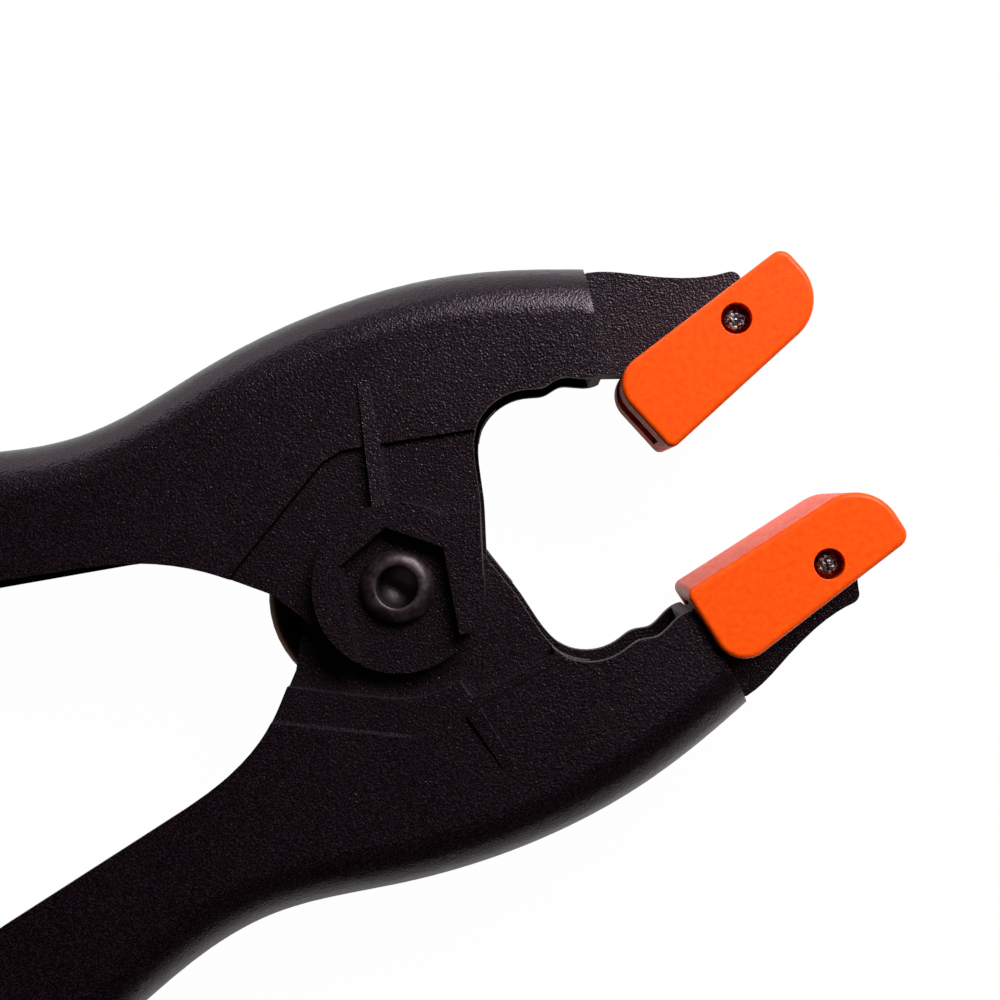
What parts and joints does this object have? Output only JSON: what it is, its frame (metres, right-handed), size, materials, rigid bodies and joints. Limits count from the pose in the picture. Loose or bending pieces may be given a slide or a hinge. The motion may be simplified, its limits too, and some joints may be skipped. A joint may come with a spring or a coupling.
{
  "type": "spring clamp",
  "caption": "Hand-operated spring clamp with two black moulded arms, a riveted torsion spring pivot and swivelling orange jaw pads.",
  "frame": {"origin": "on the pivot axis, at the side face of the clamp that it lies on", "axes": "+X from the pivot towards the pads, midway between the two arms; +Z along the pivot axis, away from the surface that the clamp lies on; +Y towards the upper arm"},
  "size_m": [0.1609, 0.0946, 0.028],
  "materials": {
    "black_nylon": "glass filled nylon with a fine spark eroded grain",
    "orange_pad": "matte moulded soft plastic",
    "spring_steel": "oil tempered brown wire",
    "rivet_steel": "dark rolled steel",
    "pin_steel": "bright cut steel ends"
  },
  "bodies": {
    "lower_arm": {"lower_arm": "black_nylon", "pivot_rivet": "rivet_steel", "torsion_spring": "spring_steel"},
    "upper_arm": {"upper_arm": "black_nylon"},
    "upper_pad": {"upper_pad": "orange_pad", "upper_pad_pin": "pin_steel"},
    "lower_pad": {"lower_pad": "orange_pad", "lower_pad_pin": "pin_steel"}
  },
  "joints": [
    {"name": "jaw_hinge", "type": "hinge", "parent": "lower_arm", "child": "upper_arm", "pos_m": [0, 0, 0.014], "axis": [0, 0, 1], "range_deg": [-10, 30], "stiffness_Nm_per_rad": 3.3, "deforming": ["torsion_spring"]},
    {"name": "upper_pad_swivel", "type": "hinge", "parent": "upper_arm", "child": "upper_pad", "pos_m": [0.0456, 0.0145, 0.014], "axis": [0, 0, -1], "range_deg": [-1.3, 34.2]},
    {"name": "lower_pad_swivel", "type": "hinge", "parent": "lower_arm", "child": "lower_pad", "pos_m": [0.0456, -0.0145, 0.014], "axis": [0, 0, 1], "range_deg": [-34.9, 0.6]}
  ]
}
